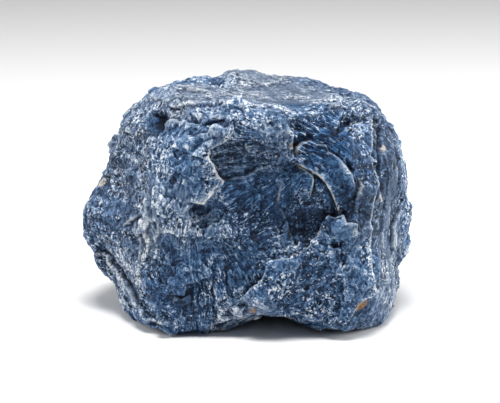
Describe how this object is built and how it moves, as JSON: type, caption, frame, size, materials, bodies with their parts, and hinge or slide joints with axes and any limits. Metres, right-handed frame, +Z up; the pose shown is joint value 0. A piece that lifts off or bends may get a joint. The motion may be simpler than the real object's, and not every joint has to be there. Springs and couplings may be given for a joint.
{
  "type": "rough dumortierite stone",
  "caption": "Hand-sized lump of rough blue stone, broken on every side, with a flat top and small flats underneath to rest on.",
  "frame": {"origin": "on the ground, under the middle of the stone's bounding box", "axes": "+Z up, -Y out of the broad front face, +X along the stone's longest side, to the right of someone facing the front"},
  "size_m": [0.0608, 0.0442, 0.0427],
  "materials": {
    "rough_stone": "rough, fibrous and granular, with silky glints and pale and rusty stains"
  },
  "bodies": {
    "root": {"stone": "rough_stone"}
  },
  "joints": []
}
